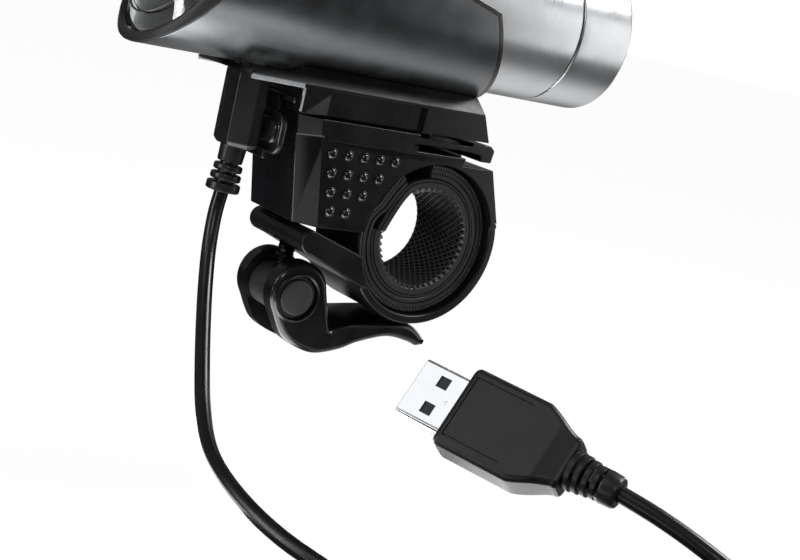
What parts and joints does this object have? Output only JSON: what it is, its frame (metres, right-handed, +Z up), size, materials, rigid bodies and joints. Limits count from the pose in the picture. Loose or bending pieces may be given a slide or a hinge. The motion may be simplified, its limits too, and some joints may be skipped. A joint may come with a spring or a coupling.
{
  "type": "bike headlight",
  "caption": "Tubular rechargeable bike headlight on a slide-on shoe, with a cam-lever handlebar clamp and a charging lead plugged in under the head.",
  "frame": {"origin": "middle of the handlebar clamp's bore", "axes": "+X along the beam, +Y along the handlebar to the rider's left, +Z up"},
  "size_m": [0.1184, 0.1566, 0.1331],
  "materials": {
    "bracket_plastic": "fine moulded grain",
    "pad_rubber": "matt",
    "zinc_steel": "zinc plated",
    "lever_plastic": "semi gloss",
    "shoe_plastic": "fine moulded grain",
    "sleeve_paint": "satin",
    "black_rubber": "matt",
    "silver_aluminium": "satin anodised",
    "bezel_plastic": "gloss",
    "clear_lens": "clear moulded",
    "bright_reflector": "vacuum metallised",
    "circuit_board": "solder mask",
    "white_board": "white mask",
    "emitter": "silicone dome",
    "wire_insulation": "gloss",
    "gold_contact": "gold plated",
    "carrier_plastic": "moulded",
    "cell_wrap": "shrink wrap",
    "plug_plastic": "overmould",
    "cord_jacket": "satin jacket",
    "plug_shell": "nickel plated",
    "tongue_plastic": "moulded"
  },
  "bodies": {
    "bracket": {"bracket_body": "bracket_plastic", "inner_pad": "pad_rubber", "outer_pad": "pad_rubber", "clamp_nut": "zinc_steel", "clamp_bolt": "zinc_steel", "barrel_pin": "lever_plastic"},
    "jaw": {"clamp_jaw": "bracket_plastic"},
    "lever": {"cam_lever": "lever_plastic"},
    "latch": {"release_latch": "bracket_plastic"},
    "button": {"power_button": "black_rubber"},
    "tail_ring": {"tail_seal": "black_rubber"},
    "tail": {"tail_cap": "silver_aluminium", "tail_spring": "zinc_steel"},
    "flap": {"dust_flap": "black_rubber"},
    "lead": {"charging_plug": "plug_plastic", "charging_tip": "plug_shell", "charging_relief": "plug_plastic", "charging_cord": "cord_jacket", "power_relief": "plug_plastic", "power_body": "plug_plastic", "power_shell": "plug_shell", "power_tongue": "tongue_plastic", "power_contacts": "gold_contact"},
    "lamp": {"lamp_shoe": "shoe_plastic", "shoe_screws": "zinc_steel", "charging_socket": "plug_shell", "socket_tongue": "carrier_plastic", "charging_board": "circuit_board", "head_sleeve": "sleeve_paint", "sleeve_trim": "black_rubber", "body_tube": "silver_aluminium", "bezel": "bezel_plastic", "lens": "clear_lens", "lens_seal": "black_rubber", "reflector": "bright_reflector", "led_board": "white_board", "led_emitter": "emitter", "heat_sink": "silver_aluminium", "led_wires": "wire_insulation", "driver_board": "circuit_board", "front_contact": "gold_contact", "cell_carrier": "carrier_plastic", "cell": "cell_wrap", "switch_board": "circuit_board", "tact_switch": "zinc_steel"}
  },
  "joints": [
    {"name": "lamp_slide", "type": "slide", "parent": "bracket", "child": "lamp", "axis": [1, 0, 0], "range_m": [0, 0.04]},
    {"name": "latch_press", "type": "hinge", "parent": "bracket", "child": "latch", "pos_m": [0.0098, 0, 0.0224], "axis": [0, -1, 0], "range_deg": [0, 3], "stiffness_Nm_per_rad": 0.6, "springref_deg": -1.15},
    {"name": "lever_swing", "type": "hinge", "parent": "bracket", "child": "lever", "pos_m": [0.0298, 0, -0.0164], "axis": [0, -1, 0], "range_deg": [0, 120]},
    {"name": "jaw_open", "type": "hinge", "parent": "bracket", "child": "jaw", "pos_m": [-0.01823, 0, 0.005], "axis": [0, 1, 0], "range_deg": [0, 3.5]},
    {"name": "flap_swing", "type": "hinge", "parent": "lamp", "child": "flap", "pos_m": [0.0411, 0, 0.0267], "axis": [0, 1, 0], "range_deg": [-4, 10]},
    {"name": "plug_pull", "type": "slide", "parent": "lamp", "child": "lead", "axis": [0, 0, -1], "range_m": [0, 0.009]},
    {"name": "button_press", "type": "slide", "parent": "lamp", "child": "button", "axis": [0, 0, -1], "range_m": [0, 0.0008], "stiffness_N_per_m": 2000, "springref_m": -0.0002},
    {"name": "tail_out", "type": "slide", "parent": "lamp", "child": "tail_ring", "axis": [-1, 0, 0], "range_m": [0, 0.006]},
    {"name": "tail_turn", "type": "hinge", "parent": "tail_ring", "child": "tail", "pos_m": [-0.03, 0, 0.053], "axis": [-1, 0, 0], "range_deg": [0, 1440]}
  ],
  "couplings": [
    {"joint": "jaw_open", "follows": "lever_swing", "ratio": 0.0291},
    {"joint": "tail_out", "follows": "tail_turn", "m_per_rad": 0.0002387}
  ]
}
